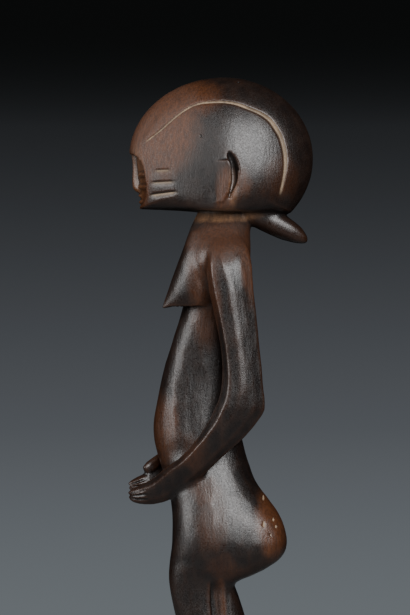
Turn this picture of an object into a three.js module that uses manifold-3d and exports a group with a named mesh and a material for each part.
// A standing female figure carved from one block of hardwood, with a low round base in the same block.
// The figure faces -Y, its left side is +X, and +Z is up. The origin is the centre of the base's
// underside. Every size is in millimetres.
import * as THREE from "three";
import { mergeVertices } from "three/addons/utils/BufferGeometryUtils.js";
import Module from "manifold-3d";

// Driving dimensions.
const FULL_HEIGHT = 450;
const BASE_RADIUS = 44;
const BASE_HEIGHT = 15;
const BASE_EDGE = 2.5;

// The head is an egg lying along Y. Its outline, seen from the side, is an ellipse about HEAD_CENTRE,
// cut by the nearly upright plane of the face and by the flat underside of the jaw.
const CROWN = 52.8;
const HEAD_CENTRE = { y: 7.8, z: FULL_HEIGHT - CROWN };
const HEAD_FRONT = 61.8;
const HEAD_REAR = 57.8;
const HEAD_FRONT_DROP = 80;
const JAW_ROUND = 42;
const CHIN = { y: -46.8, z: 364.6 };
const FACE_LEAN = 0.19;
const JAW_SLOPE = -0.03;
const NAPE_Y = 50;

// The groove that parts the crest of hair from the side of the head.
const CREST_GROOVE_WIDTH = 2.4;
const CREST_GROOVE_DEPTH = 0.7;
const CREST_STAND = 0.6;

// Wood colour of the worn, oiled surface.
const PATINA = 0x3a2a22;
const PATINA_ROUGHNESS = 0.42;

const wasm = await Module();
wasm.setup();

// Small helpers.

// Cubic interpolation of rows [station, value, value, ...] whose stations rise or fall steadily.
function between(rows, station) {
  const rising = rows[rows.length - 1][0] > rows[0][0];
  let i = rows.findIndex((row) => (rising ? row[0] > station : row[0] < station)) - 1;
  if (i === -2) i = rows.length - 2;
  i = Math.max(0, Math.min(i, rows.length - 2));
  const slope = (k, c) => {
    const before = rows[Math.max(k - 1, 0)];
    const after = rows[Math.min(k + 1, rows.length - 1)];
    return (after[c] - before[c]) / (after[0] - before[0]);
  };
  const [a, b] = [rows[i], rows[i + 1]];
  const span = b[0] - a[0];
  const t = Math.max(0, Math.min(1, (station - a[0]) / span));
  const [t2, t3] = [t * t, t * t * t];
  return a.slice(1).map((value, k) => {
    const c = k + 1;
    return (
      (2 * t3 - 3 * t2 + 1) * value +
      (t3 - 2 * t2 + t) * span * slope(i, c) +
      (3 * t2 - 2 * t3) * b[c] +
      (t3 - t2) * span * slope(i + 1, c)
    );
  });
}

// Values from one end to the other, both included.
function steps(from, to, count) {
  return Array.from({ length: count + 1 }, (_, i) => from + ((to - from) * i) / count);
}

// A superellipse's cosine and sine: power 2 is an ellipse, and more is boxier.
function rounded(angle, power) {
  const bend = (v) => Math.sign(v) * Math.pow(Math.abs(v), 2 / power);
  return [bend(Math.cos(angle)), bend(Math.sin(angle))];
}

// A closed solid from rings of points, each ring with the same number of points.
function loft(rings) {
  const count = rings[0].length;
  const points = rings.flat();
  const faces = [];
  for (let r = 0; r + 1 < rings.length; r++) {
    for (let i = 0; i < count; i++) {
      const [a, b] = [r * count + i, r * count + ((i + 1) % count)];
      faces.push(a, b, b + count, a, b + count, a + count);
    }
  }
  for (const [first, turn] of [[0, 1], [(rings.length - 1) * count, -1]]) {
    const centre = new THREE.Vector3();
    for (let i = 0; i < count; i++) centre.addScaledVector(points[first + i], 1 / count);
    points.push(centre);
    for (let i = 0; i < count; i++) {
      const [a, b] = [first + i, first + ((i + 1) % count)];
      faces.push(...(turn > 0 ? [b, a, points.length - 1] : [a, b, points.length - 1]));
    }
  }
  const geometry = new THREE.BufferGeometry().setFromPoints(points);
  geometry.setIndex(faces);
  return solid(geometry);
}

// A manifold-3d solid from any closed three.js geometry, turned to face outwards.
function solid(geometry) {
  const bare = geometry.clone();
  for (const name of Object.keys(bare.attributes)) {
    if (name !== "position") bare.deleteAttribute(name);
  }
  const merged = mergeVertices(bare, 1e-4);
  const vertProperties = new Float32Array(merged.attributes.position.array);
  const triVerts = new Uint32Array(merged.index.array);
  if (signedVolume(vertProperties, triVerts) < 0) {
    for (let i = 0; i < triVerts.length; i += 3) {
      [triVerts[i + 1], triVerts[i + 2]] = [triVerts[i + 2], triVerts[i + 1]];
    }
  }
  return new wasm.Manifold(new wasm.Mesh({ numProp: 3, vertProperties, triVerts }));
}

function signedVolume(positions, corners) {
  const [a, b, c] = [new THREE.Vector3(), new THREE.Vector3(), new THREE.Vector3()];
  let volume = 0;
  for (let i = 0; i < corners.length; i += 3) {
    a.fromArray(positions, corners[i] * 3);
    b.fromArray(positions, corners[i + 1] * 3);
    c.fromArray(positions, corners[i + 2] * 3);
    volume += a.dot(b.cross(c)) / 6;
  }
  return volume;
}

// A level ring: a superellipse whose front and back reach different ways from its widest line.
function levelRing({ z, front, back, widest, half, middle = 0, boxy = 2.3 }, count) {
  return steps(0, 2 * Math.PI, count).slice(0, -1).map((angle) => {
    const [across, along] = rounded(angle, boxy);
    const reach = along < 0 ? widest - front : back - widest;
    return new THREE.Vector3(middle + half * across, widest + reach * along, z);
  });
}

// A closed strip along a run of places, with a flat-bottomed three-sided section at each.
// Each place has the strip's middle, a way across it and a way out of the surface.
function strip(places, halfWidth, height, depth) {
  const rings = places.map(({ at, across, out, thin = 1 }) => [
    at.clone().addScaledVector(across, -halfWidth * thin).addScaledVector(out, -depth),
    at.clone().addScaledVector(across, halfWidth * thin).addScaledVector(out, -depth),
    at.clone().addScaledVector(across, halfWidth * thin * 0.45).addScaledVector(out, height * thin),
    at.clone().addScaledVector(across, -halfWidth * thin * 0.45).addScaledVector(out, height * thin),
  ]);
  return loft(rings);
}

// One half of the body, from the neck down through one buttock and leg to the ankle. Both halves
// overlap in the middle down to the hips, where they part into the buttocks and the legs.
// Each row is height, front, back, widest line, inner side, middle, outer side, outer boxiness.
const BODY = [
  [376, -5, 18, 8, -3, 0, 11, 2.2],
  [364, -8.6, 22.4, 8, -3, 0, 12.4, 2.2],
  [358, -11.4, 23.8, 8, -3, 0, 14, 2.2],
  [352, -14, 24.4, 8, -3, 0, 19, 2.2],
  [345, -16.6, 24.8, 8, -3, 0, 26.5, 2.2],
  [337, -19, 25, 8, -3, 0, 32, 2.3],
  [328, -20, 24.6, 7, -3, 0, 32.5, 2.3],
  [316, -18.6, 23.5, 5, -3, 0, 27.6, 2.3],
  [302, -18.8, 21.6, 3, -3, 0, 21.4, 2.3],
  [281, -25, 19, -1, -3, 0, 18.6, 2.3],
  [260, -31.2, 17.4, -4, -3, 0, 17.8, 2.3],
  [242, -35.2, 16.4, -6, -3, 0, 18.2, 2.3],
  [225, -38, 17, -7, -3, 0, 19.4, 2.2],
  [214, -37.4, 19.8, -6, -3, 0, 20.6, 2.2],
  [202, -34.4, 23, -4, -3.4, 0.4, 22.6, 2.1],
  [188, -29.6, 28.2, 0, -4, 3, 26.2, 2.1],
  [176, -26.6, 36.6, 4, -4, 7, 29.8, 2],
  [164, -25.6, 44.6, 8, -4, 11, 33, 2],
  [152, -25.6, 48.2, 10, -3.6, 13.6, 34.6, 2],
  [144, -26.2, 47.2, 10, -3, 14.6, 34.2, 2],
  [138, -27, 42.6, 8, -2, 15, 33, 2],
  [132.6, -27.6, 34.5, 4, -0.6, 15.4, 31.4, 2.1],
  [128.4, -27.8, 25.5, 0, 0.8, 15.8, 30, 2.2],
  [124.5, -27.7, 16.2, -3, 1.8, 16.2, 29, 2.3],
  [120.5, -27.2, 14.6, -4, 2.6, 16.6, 28.6, 2.4],
  [112, -25.7, 17.2, -3, 3.6, 16.8, 28.6, 2.4],
  [101.4, -23.2, 20.8, -1, 4.2, 17, 28.9, 2.4],
  [91, -20.8, 23.4, 1, 4.2, 17, 29.4, 2.4],
  [81, -18.2, 24.6, 2, 4.6, 17, 29.4, 2.4],
  [70, -15.4, 23.4, 3, 5.8, 17, 28.2, 2.4],
  [56, -12.2, 19.4, 3, 7.8, 17, 25.6, 2.3],
  [43, -9.6, 15.6, 3, 9.2, 16.8, 23.6, 2.2],
  [33, -9.2, 15.2, 3, 9.2, 16.6, 23.4, 2.2],
  [22, -11, 17, 3, 8.4, 16.4, 24, 2.2],
  [12, -11, 17, 3, 8.4, 16.4, 24, 2.2],
];
const BODY_INNER_BOXINESS = 3;
const BODY_STATIONS = [
  ...steps(370, 302, 7),
  ...steps(302, 208, 6).slice(1),
  ...steps(208, 148, 6).slice(1),
  ...steps(148, 120, 6).slice(1),
  ...steps(120, 12, 9).slice(1),
];
const BODY_SIDES = 16;

function bodyRing(z, side, count) {
  const [front, back, widest, inner, middle, outer, boxy] = between(BODY, z);
  return steps(0, 2 * Math.PI, count).slice(0, -1).map((angle) => {
    const [across, along] = rounded(angle, Math.cos(angle) > 0 ? boxy : BODY_INNER_BOXINESS);
    const out = across > 0 ? outer - middle : middle - inner;
    const reach = along < 0 ? widest - front : back - widest;
    return new THREE.Vector3(side * (middle + out * across), widest + reach * along, z);
  });
}

function halfBody(side) {
  return loft(BODY_STATIONS.map((z) => bodyRing(z, side, BODY_SIDES)));
}

// The outer side of the body at a place in the side view.
function bodySide(y, z) {
  const [front, back, widest, , middle, outer, boxy] = between(BODY, z);
  const along = Math.min(1, y < widest ? (widest - y) / (widest - front) : (y - widest) / (back - widest));
  return middle + (outer - middle) * Math.pow(1 - Math.pow(along, boxy), 1 / boxy);
}

// One foot, from heel to toes, on the base. Each row is Y, middle X, half width, height.
const FOOT = [
  [19.4, 15.5, 3, 5],
  [18, 15.6, 7, 9.5],
  [10, 15.8, 8.4, 15],
  [-1, 16.2, 9, 16.5],
  [-12, 17, 10.2, 11.6],
  [-22, 17.8, 11.2, 8],
  [-28, 18, 10.4, 6],
  [-30.4, 18, 7, 3.4],
];
const FOOT_RINGS = 10;
const FOOT_SIDES = 12;
const FOOT_SUNK = 3;

function foot(side) {
  const rings = steps(FOOT[0][0], FOOT[FOOT.length - 1][0], FOOT_RINGS).map((y) => {
    const [middle, half, height] = between(FOOT, y);
    const centre = BASE_HEIGHT - FOOT_SUNK;
    return steps(0, 2 * Math.PI, FOOT_SIDES).slice(0, -1).map((angle) => {
      const [across, up] = rounded(angle, 2.6);
      const rise = up > 0 ? height + FOOT_SUNK : FOOT_SUNK;
      return new THREE.Vector3(side * middle + half * across, y, centre + rise * up);
    });
  });
  return loft(rings);
}

function base() {
  const edge = BASE_RADIUS - BASE_EDGE;
  const profile = new THREE.Path();
  profile.moveTo(0, 0);
  profile.lineTo(BASE_RADIUS - 1, 0);
  profile.lineTo(BASE_RADIUS, 2);
  profile.lineTo(BASE_RADIUS, BASE_HEIGHT - BASE_EDGE);
  profile.absarc(edge, BASE_HEIGHT - BASE_EDGE, BASE_EDGE, 0, Math.PI / 2);
  profile.lineTo(0, BASE_HEIGHT);
  const turned = new THREE.LatheGeometry(profile.getPoints(3), 40);
  turned.rotateX(Math.PI / 2);
  return solid(turned);
}

// One arm and hand, as sections that span from a front rail to a rear rail in the side view.
// Each row is a running number, the front rail's Y and Z, the rear rail's Y and Z, then the
// section's middle X and half thickness.
const ARM = [
  [0, 3, 347, 18, 347, 23, 4],
  [1, -2, 339, 23.4, 339, 28, 7.4],
  [2, -3.6, 328, 25.2, 328, 31.4, 8.6],
  [3, -2.4, 314, 26.2, 313, 33, 8.8],
  [4, 0.8, 299, 28, 297, 34, 8.2],
  [5, 4.2, 283, 29.6, 281, 34.8, 7.8],
  [6, 6.4, 267, 31.2, 264, 35.4, 7.6],
  [7, 6.4, 255, 32.6, 249.5, 35.8, 7.6],
  [8, 5, 245, 33.6, 239.5, 35.8, 7.6],
  [9, 2, 237, 32, 232.6, 35.4, 7.6],
  [10, -3, 227, 21.4, 218.8, 33.4, 7.4],
  [11, -11.6, 214.5, 6, 204.6, 30.2, 7],
  [12, -21, 204.2, -8, 191, 25.4, 6.6],
  [13, -30, 197.6, -20, 180.8, 18.4, 6.2],
  [14, -37.4, 190.8, -32, 174.8, 11.4, 5.8],
  [15, -45.4, 186.2, -43.4, 173, 6.2, 5.2],
  [16, -51.8, 182.9, -51, 174.4, 4.4, 4],
  [17, -55, 180.4, -54.6, 177.4, 3.4, 2.2],
];

// The right hand lies a little higher than the left, so both show in the left side view.
const RIGHT_HAND_RISE = 5.5;
const RIGHT_HAND_FROM = 9.5;
const ARM_RINGS = 25;

// Where the arm's two long outer edges run, as shares of the way from the front rail to the rear
// rail. The front one crosses from the middle of the shoulder to the top of the forearm.
const ARM_EDGES = [
  [0, 0.5, 0.82],
  [2, 0.5, 0.82],
  [4, 0.36, 0.78],
  [6, 0.22, 0.73],
  [8, 0.17, 0.72],
  [10, 0.2, 0.74],
  [14, 0.24, 0.76],
  [17, 0.34, 0.7],
];

// The arm's section, as shares of the way from front rail to rear rail and of its half thickness.
function armSection(s) {
  const [frontEdge, rearEdge] = between(ARM_EDGES, s);
  return [
    [0, 0.16],
    [frontEdge * 0.28, 0.68],
    [frontEdge, 1],
    [rearEdge, 0.82],
    [1, 0.14],
    [1, -0.14],
    [0.82, -0.78],
    [0.45, -1],
    [0.14, -0.75],
    [0, -0.16],
  ];
}

function arm(side) {
  const last = ARM.length - 1;
  const rings = steps(0, last, ARM_RINGS).map((s) => {
    const [frontY, frontZ, rearY, rearZ, middle, thick] = between(ARM, s);
    const lifted = THREE.MathUtils.smoothstep(s, RIGHT_HAND_FROM, last - 3);
    const rise = side < 0 ? RIGHT_HAND_RISE * lifted : 0;
    return armSection(s).map(([share, out]) => {
      const [y, z] = [frontY + (rearY - frontY) * share, frontZ + (rearZ - frontZ) * share];
      return new THREE.Vector3(side * (middle + thick * out), y, z + rise);
    });
  });
  return loft(rings);
}

// The thumb of the right hand, which lies along the top of its fingers.
const THUMB = {
  root: new THREE.Vector3(-16, -27, 207.5),
  tip: new THREE.Vector3(-4.6, -44.4, 195.4),
  halfWidth: 3,
  stand: 2.6,
  depth: 4,
};

function thumb() {
  const along = THUMB.tip.clone().sub(THUMB.root).normalize();
  const across = new THREE.Vector3(0, 0, 1).cross(along).normalize();
  const out = along.clone().cross(across).normalize();
  const places = steps(0, 1, 4).map((part) => {
    return { at: THUMB.root.clone().lerp(THUMB.tip, part), across, out, thin: part === 1 ? 0.6 : 1 };
  });
  return strip(places, THUMB.halfWidth, THUMB.stand, THUMB.depth);
}

// One breast: a long pointed form that hangs from the collar, pointed forwards and cut flat below.
// Each row is height, front, middle X, half width, boxiness.
const BREAST = [
  [350, -13.4, 11, 6, 2.2],
  [342, -17.4, 12.4, 9.6, 2.1],
  [332, -21.2, 13.6, 12, 2],
  [322, -24.8, 14.4, 12.6, 1.9],
  [312, -28.3, 15, 11.6, 1.75],
  [305, -30.8, 15.4, 9.6, 1.6],
  [301.5, -32, 15.6, 7.4, 1.5],
  [299.8, -32.6, 15.8, 5.6, 1.5],
];
const BREAST_WIDEST = -9;
const BREAST_BACK = 4;
const BREAST_UNDERSIDE_RISE = 6;
const BREAST_RINGS = 8;
const BREAST_SIDES = 14;

function breast(side) {
  const rings = steps(BREAST[0][0], BREAST[BREAST.length - 1][0], BREAST_RINGS).map((z, ring) => {
    const [front, middle, half, boxy] = between(BREAST, z);
    const [widest, back] = [BREAST_WIDEST, BREAST_BACK];
    const ringOf = { z, front, back, widest, middle: side * middle, half, boxy };
    return levelRing(ringOf, BREAST_SIDES).map((point) => {
      const inward = Math.min(1, (point.y - front) / (widest - front));
      const rise = ring === BREAST_RINGS ? BREAST_UNDERSIDE_RISE * inward : 0;
      return new THREE.Vector3(point.x, point.y, point.z + rise);
    });
  });
  return loft(rings);
}

// Head.

// Distance from the head's centre to its side outline, at an angle above the way back (+Y).
function outlineRadius(angle) {
  const [back, up] = [Math.cos(angle), Math.sin(angle)];
  const depth = up < 0 && back < 0 ? HEAD_FRONT_DROP : CROWN;
  const round = 1 / Math.hypot(back / (back > 0 ? HEAD_REAR : HEAD_FRONT), up / depth);
  const toLine = (normalY, normalZ) => {
    const reach = normalY * (CHIN.y - HEAD_CENTRE.y) + normalZ * (CHIN.z - HEAD_CENTRE.z);
    const closing = normalY * back + normalZ * up;
    return closing > 1e-6 ? reach / closing : Infinity;
  };
  return Math.min(round, toLine(-1, -FACE_LEAN), toLine(JAW_SLOPE, -1));
}

// The same for the smaller outlines nearer the side, which grow rounder as they shrink.
function sideRadius(angle, share) {
  const [back, up] = [Math.cos(angle), Math.sin(angle)];
  const [length, height] = [back > 0 ? HEAD_REAR : HEAD_FRONT, up < 0 ? JAW_ROUND : CROWN];
  const round = 1 / Math.hypot(back / length, up / height);
  return round + (outlineRadius(angle) - round) * Math.pow(share, 4);
}

// The share of the way from the side to the outline at a distance from the head's centre.
function shareAt(angle, distance) {
  let [near, far] = [0, 1];
  for (let i = 0; i < 30; i++) {
    const share = (near + far) / 2;
    if (share * sideRadius(angle, share) < distance) near = share;
    else far = share;
  }
  return near;
}

// Half the head's width where it is widest at that Y, before it rounds over to the outline.
const HEAD_HALF_WIDTH = [
  [-56, 20.5],
  [-40, 24],
  [-20, 29],
  [0, 32.8],
  [18, 34.4],
  [40, 33.2],
  [68, 30],
];

// How boxy the head is across: round over the crown and nape, square along the jaw.
const HEAD_BOXINESS = [
  [-180, 3],
  [-150, 3.6],
  [-125, 4.6],
  [-100, 4.6],
  [-60, 2.8],
  [-20, 2.3],
  [60, 2.2],
  [120, 2.2],
  [155, 2.4],
  [180, 3],
];

const degrees = (angle) => THREE.MathUtils.radToDeg(angle);

// The head's surface at an angle and a share of the way from its side to its outline.
function headPoint(angle, share, raised = 0) {
  const [boxy] = between(HEAD_BOXINESS, degrees(angle));
  const distance = share * sideRadius(angle, share);
  const y = HEAD_CENTRE.y + distance * Math.cos(angle);
  const z = HEAD_CENTRE.z + distance * Math.sin(angle);
  const [half] = between(HEAD_HALF_WIDTH, y);
  const across = Math.pow(1 - Math.pow(share, boxy), 1 / boxy);
  return new THREE.Vector3(half * across + raised, y, z);
}

// Half the head's width at a place in the side view.
function headSide(y, z) {
  const angle = Math.atan2(z - HEAD_CENTRE.z, y - HEAD_CENTRE.y);
  return headPoint(angle, shareAt(angle, Math.hypot(y - HEAD_CENTRE.y, z - HEAD_CENTRE.z))).x;
}

// The crest groove's distance from the head's centre, by angle in degrees above the way back.
const CREST = [
  [-35, 44.5],
  [-14, 41],
  [4, 40.2],
  [18, 41.4],
  [33, 41.2],
  [50, 39.4],
  [72, 37.2],
  [95, 37.4],
  [117, 38.6],
  [135, 41.2],
  [150, 44.2],
  [160, 48],
  [171, 53.6],
];

const HEAD_ANGLES = 44;
const HEAD_INNER_RINGS = [0.3, 0.6, 0.84];
const HEAD_OUTER_RINGS = [0.45, 0.78, 1];
const PLAIN_RING = 0.84;

// The rings run from the pole on one side of the head over its outline to the other pole. One
// ring on each side lies in the crest groove, with a ring on each of the groove's lips.
function head() {
  const chinAngle = Math.atan2(CHIN.z - HEAD_CENTRE.z, CHIN.y - HEAD_CENTRE.y);
  const angles = steps(chinAngle, chinAngle + 2 * Math.PI, HEAD_ANGLES).slice(0, -1).map((angle) => {
    return angle > Math.PI ? angle - 2 * Math.PI : angle;
  });
  const columns = angles.map((angle) => {
    const turn = degrees(angle);
    const inCrest = turn >= CREST[0][0] && turn <= CREST[CREST.length - 1][0];
    const [distance] = inCrest ? between(CREST, turn) : [PLAIN_RING * sideRadius(angle, PLAIN_RING)];
    const groove = shareAt(angle, distance);
    const inside = shareAt(angle, distance - CREST_GROOVE_WIDTH / 2);
    const outside = shareAt(angle, distance + CREST_GROOVE_WIDTH / 2);
    const outer = HEAD_OUTER_RINGS.map((part) => Math.sin((part * Math.PI) / 2) * (1 - outside) + outside);
    const points = [
      ...HEAD_INNER_RINGS.map((part) => headPoint(angle, part * inside)),
      headPoint(angle, inside),
      headPoint(angle, groove, inCrest ? -CREST_GROOVE_DEPTH : 0),
      headPoint(angle, outside, inCrest ? CREST_STAND : 0),
      ...outer.map((share, i) => headPoint(angle, share, inCrest && i === 0 ? CREST_STAND / 2 : 0)),
    ];
    return [...points, ...points.slice(0, -1).reverse().map((p) => new THREE.Vector3(-p.x, p.y, p.z))];
  });
  const rings = columns[0].map((_, row) => columns.map((points) => points[row]));
  return loft(rings);
}

// The plait that stands back and down from the nape, as sections square to its axis.
// Each row is a share of its length, Y and Z of its axis, half thickness and half width.
const PLAIT = [
  [0, 18, 368, 7.5, 11],
  [0.3, 31, 360.6, 8.4, 11.4],
  [0.6, 44, 353.6, 7.8, 10.6],
  [0.82, 54, 348.4, 6, 8.6],
  [0.95, 60, 344.8, 3, 5.4],
  [1, 61.8, 343.6, 1, 2.4],
];
const PLAIT_RINGS = 9;
const PLAIT_SIDES = 12;

function plait() {
  const rings = steps(0, 1, PLAIT_RINGS).map((share) => {
    const [y, z, thick, wide] = between(PLAIT, share);
    const tilt = Math.atan2(PLAIT[3][2] - PLAIT[1][2], PLAIT[3][1] - PLAIT[1][1]);
    return steps(0, 2 * Math.PI, PLAIT_SIDES).slice(0, -1).map((angle) => {
      const [across, up] = rounded(angle, 2.4);
      return new THREE.Vector3(
        wide * across,
        y - thick * up * Math.sin(tilt),
        z + thick * up * Math.cos(tilt),
      );
    });
  });
  return loft(rings);
}

// The ear: the cheek's side rises towards the back as a flap, with a crescent hollow behind it
// and a thin rim round the hollow's lower end.
const EAR = { front: 0, rear: 13, top: 396.5, bottom: 369.4, stand: 2.2 };
const EAR_HOLLOW = { back: 19.6, deep: 4.6, slant: 5 };
const EAR_RIM = { from: 6, to: -92, halfWidth: 1.1, stand: 1.6, reachY: 4.6, reachZ: 12.5 };

function earFlap(side) {
  const corners = [
    [EAR.front, EAR.top - 5],
    [EAR.rear - 5, EAR.top],
    [EAR.rear - 1, EAR.top - 1.5],
    [EAR.rear, EAR.top - 5],
    [EAR.rear, EAR.bottom + 9],
    [EAR.rear - 4, EAR.bottom],
    [EAR.front, EAR.bottom - 1],
  ];
  const layer = (rise) =>
    corners.map(([y, z]) => {
      const lift = (EAR.stand * (y - EAR.front)) / (EAR.rear - EAR.front);
      return new THREE.Vector3(side * (headSide(y, z) + (rise ? lift : -4)), y, z);
    });
  return loft([layer(false), layer(true)]);
}

function earHollow(side) {
  const [middle, tall] = [(EAR.top + EAR.bottom) / 2 + 2, (EAR.top - EAR.bottom) / 2];
  const crescent = new THREE.Shape();
  crescent.moveTo(EAR.rear - 2, middle + tall + 1.5);
  crescent.quadraticCurveTo(2 * EAR_HOLLOW.back - EAR.rear, middle, EAR.rear - 3, middle - tall - 1);
  crescent.lineTo(EAR.rear, middle - tall + 6);
  crescent.lineTo(EAR.rear, middle + tall - 4);
  crescent.closePath();
  const cutter = new THREE.ExtrudeGeometry(crescent, { depth: 20, bevelEnabled: false, curveSegments: 8 });
  const [x, y, z] = [new THREE.Vector3(0, 1, 0), new THREE.Vector3(0, 0, 1), new THREE.Vector3(1, 0, 0)];
  cutter.applyMatrix4(new THREE.Matrix4().makeBasis(x, y, z));
  cutter.translate(headSide(EAR.rear + 2, middle) - EAR_HOLLOW.deep, 0, 0);
  if (side < 0) cutter.scale(-1, 1, 1);
  return solid(cutter);
}

function earRim(side) {
  const middleZ = (EAR.top + EAR.bottom) / 2 + 1;
  const places = steps(EAR_RIM.from, EAR_RIM.to, 6).map((turn, i) => {
    const angle = THREE.MathUtils.degToRad(turn);
    const y = EAR.rear + EAR_RIM.reachY * Math.cos(angle);
    const z = middleZ + EAR_RIM.reachZ * Math.sin(angle);
    const at = new THREE.Vector3(side * headSide(y, z), y, z);
    const across = new THREE.Vector3(0, Math.cos(angle), Math.sin(angle));
    return { at, across, out: new THREE.Vector3(side, 0, 0), thin: i === 0 || i === 6 ? 0.3 : 1 };
  });
  return strip(places, EAR_RIM.halfWidth, EAR_RIM.stand, EAR_HOLLOW.deep + 1.5);
}

// The face: a shield-shaped panel let into the front of the head. Each row is height and half width.
const PANEL = [
  [400.4, 2],
  [399.6, 8.4],
  [397.4, 13],
  [391, 16.2],
  [380, 16.4],
  [373, 15.2],
  [368.4, 12.4],
  [366.2, 8],
];
const PANEL_MIDDLE = -49.2;
const PANEL_HOLLOW = 0.031;
const PANEL_LEAN = 0.1;
const panelFloor = (x, z) => PANEL_MIDDLE + PANEL_HOLLOW * x * x + (PANEL[0][0] - z) * PANEL_LEAN;

function facePanel() {
  const rings = steps(PANEL[0][0], PANEL[PANEL.length - 1][0], 11).map((z) => {
    const [half] = between(PANEL, z);
    const across = steps(-half, half, 6);
    return [
      ...across.map((x) => new THREE.Vector3(x, panelFloor(x, z), z)),
      ...across.reverse().map((x) => new THREE.Vector3(x, -75, z)),
    ];
  });
  return loft(rings);
}

// Nose. Each row is height, ridge Y and half width.
const NOSE = [
  [401, -52.6, 1.8],
  [392, -51.8, 1.6],
  [384, -52, 2.2],
  [378.6, -51.6, 3.4],
  [376.2, -50, 3.6],
  [375.2, -48.2, 3],
];

function nose() {
  const rings = steps(NOSE[0][0], NOSE[NOSE.length - 1][0], 8).map((z) => {
    const [ridge, half] = between(NOSE, z);
    const floor = PANEL_MIDDLE + 6;
    return [
      [-half - 0.8, floor],
      [-half - 0.8, PANEL_MIDDLE + 1.6],
      [-half * 0.55, ridge + 0.4],
      [half * 0.55, ridge + 0.4],
      [half + 0.8, PANEL_MIDDLE + 1.6],
      [half + 0.8, floor],
    ].map(([x, y]) => new THREE.Vector3(x, y, z));
  });
  return loft(rings);
}

// A ridge across the panel, for lids and lips: from one X to another, bowed up or down.
function panelRidge(fromX, toX, z, bow, halfHeight, stand) {
  const places = steps(fromX, toX, 4).map((x, i) => {
    const part = i / 2 - 1;
    const height = z + bow * (1 - part * part);
    const at = new THREE.Vector3(x, panelFloor(x, height), height);
    const out = new THREE.Vector3(2 * PANEL_HOLLOW * x, -1, 0).normalize();
    return { at, across: new THREE.Vector3(0, 0, 1), out, thin: i === 0 || i === 4 ? 0.35 : 1 };
  });
  return strip(places, halfHeight, stand, 2);
}

const LIDS = { inner: 3.6, outer: 15.6, upper: 385.4, lower: 379.6, bow: 1.2, halfHeight: 1.3, stand: 1.5 };
const LIPS = { reach: 6.2, upper: 372.6, lower: 369.6, bow: 0.7, halfHeight: 1, stand: 1.6 };

function faceFeatures() {
  const lids = [-1, 1].flatMap((side) => [
    panelRidge(side * LIDS.inner, side * LIDS.outer, LIDS.upper, LIDS.bow, LIDS.halfHeight, LIDS.stand),
    panelRidge(side * LIDS.inner, side * LIDS.outer, LIDS.lower, -LIDS.bow, LIDS.halfHeight, LIDS.stand),
  ]);
  const lips = [
    panelRidge(-LIPS.reach, LIPS.reach, LIPS.upper, LIPS.bow, LIPS.halfHeight, LIPS.stand),
    panelRidge(-LIPS.reach, LIPS.reach, LIPS.lower, -LIPS.bow, LIPS.halfHeight, LIPS.stand),
  ];
  return [nose(), ...lids, ...lips];
}

// Three cut marks on each cheek. Each row is front Y, rear Y, front height, rear height.
const CHEEK_MARKS = [
  [-36, -27.5, 388.6, 388.8],
  [-38, -25, 380.8, 381.2],
  [-38.6, -23.6, 373, 374.6],
];
const MARK_HALF_WIDTH = 1;
const MARK_DEPTH = 0.9;

function cheekMarks(side) {
  return CHEEK_MARKS.map(([frontY, rearY, frontZ, rearZ]) => {
    const places = steps(0, 1, 3).map((part, i) => {
      const [y, z] = [frontY + (rearY - frontY) * part, frontZ + (rearZ - frontZ) * part];
      const at = new THREE.Vector3(side * headSide(y, z), y, z);
      const thin = i === 0 || i === 3 ? 0.25 : 1;
      return { at, across: new THREE.Vector3(0, 0, 1), out: new THREE.Vector3(-side, 0, 0), thin };
    });
    return strip(places, MARK_HALF_WIDTH, MARK_DEPTH, 1);
  });
}

// Grooves that part the fingers at the tip of each hand, cut along the arm's run.
// Each is a share of the way from the upper to the lower edge of the hand.
const FINGER_GROOVES = [0.27, 0.5, 0.74];
const FINGERS_FROM = 14.4;
const FINGERS_TO = 17.4;
const FINGER_GROOVE = { halfWidth: 0.55, deep: 0.9 };

function fingerGrooves(side) {
  return FINGER_GROOVES.map((share) => {
    const places = steps(FINGERS_FROM, FINGERS_TO, 3).map((s, i) => {
      const [frontY, frontZ, rearY, rearZ, middle, thick] = between(ARM, Math.min(s, ARM.length - 1));
      const past = Math.max(0, s - (ARM.length - 1)) * 6;
      const y = frontY + (rearY - frontY) * share - past;
      const z = frontZ + (rearZ - frontZ) * share + (side < 0 ? RIGHT_HAND_RISE : 0);
      const at = new THREE.Vector3(side * (middle + thick * 0.86), y, z);
      const out = new THREE.Vector3(-side, 0, 0);
      return { at, across: new THREE.Vector3(0, 0, 1), out, thin: i === 0 ? 0.2 : 1 };
    });
    return strip(places, FINGER_GROOVE.halfWidth, FINGER_GROOVE.deep, 1.2);
  });
}

// Grooves that part the toes.
const TOE_GROOVES = [-0.52, -0.18, 0.16, 0.5];
const TOE_GROOVE = { from: -19, to: -31.5, halfWidth: 0.6, deep: 1.1 };

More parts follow.
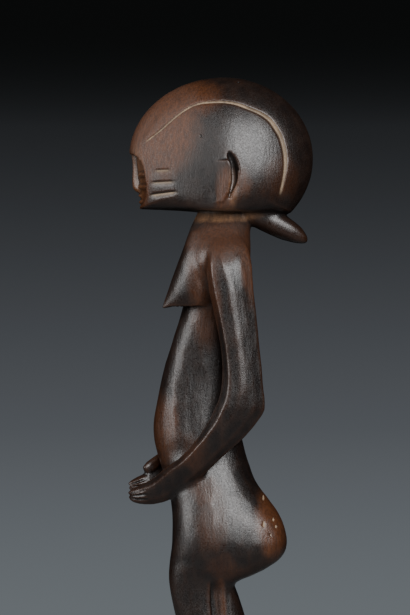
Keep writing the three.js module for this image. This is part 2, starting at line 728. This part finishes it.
function toeGrooves(side) {
  return TOE_GROOVES.map((share) => {
    const places = steps(TOE_GROOVE.from, TOE_GROOVE.to, 2).map((y, i) => {
      const [middle, half, height] = between(FOOT, Math.max(y, FOOT[FOOT.length - 1][0]));
      const top = BASE_HEIGHT + height * Math.sqrt(1 - share * share);
      const at = new THREE.Vector3(side * middle + half * share, y, top);
      const [across, out] = [new THREE.Vector3(1, 0, 0), new THREE.Vector3(0, 0, -1)];
      return { at, across, out, thin: i === 0 ? 0.2 : 1 };
    });
    return strip(places, TOE_GROOVE.halfWidth, TOE_GROOVE.deep, 1.2);
  });
}

// The long hollow down the outer side of each leg that parts the shin from the calf.
const CALF_HOLLOW = { fromZ: 119, toZ: 52, fromY: -1.3, toY: 5, halfWidth: 2, deep: 1.5 };

function calfHollow(side) {
  const places = steps(0, 1, 4).map((part, i) => {
    const z = CALF_HOLLOW.fromZ + (CALF_HOLLOW.toZ - CALF_HOLLOW.fromZ) * part;
    const y = CALF_HOLLOW.fromY + (CALF_HOLLOW.toY - CALF_HOLLOW.fromY) * part;
    const at = new THREE.Vector3(side * bodySide(y, z), y, z);
    const thin = i === 0 || i === 4 ? 0.2 : 1;
    return { at, across: new THREE.Vector3(0, 1, 0), out: new THREE.Vector3(-side, 0, 0), thin };
  });
  return strip(places, CALF_HOLLOW.halfWidth, CALF_HOLLOW.deep, 2);
}

// Everything joined into the one block that the figure is carved from.
let block = head().subtract(facePanel());
for (const feature of faceFeatures()) block = block.add(feature);
block = block.add(plait()).add(base()).add(thumb());
for (const side of [1, -1]) {
  block = block.subtract(earHollow(side)).add(earFlap(side)).add(earRim(side));
  for (const limb of [halfBody, foot, arm, breast]) block = block.add(limb(side));
  const cuts = [...cheekMarks(side), ...fingerGrooves(side), ...toeGrooves(side), calfHollow(side)];
  for (const cut of cuts) block = block.subtract(cut);
}

const carved = block.getMesh();
const positions = new Float32Array(carved.numVert * 3);
for (let i = 0; i < carved.numVert; i++) {
  const first = i * carved.numProp;
  positions.set(carved.vertProperties.subarray(first, first + 3), i * 3);
}
const geometry = new THREE.BufferGeometry();
geometry.setAttribute("position", new THREE.BufferAttribute(positions, 3));
geometry.setIndex(new THREE.BufferAttribute(carved.triVerts, 1));
geometry.computeVertexNormals();

const figure = new THREE.Mesh(
  geometry,
  new THREE.MeshStandardMaterial({ color: PATINA, roughness: PATINA_ROUGHNESS, metalness: 0 }),
);
figure.name = "figure";

const statue = new THREE.Group();
statue.add(figure);

export default statue;
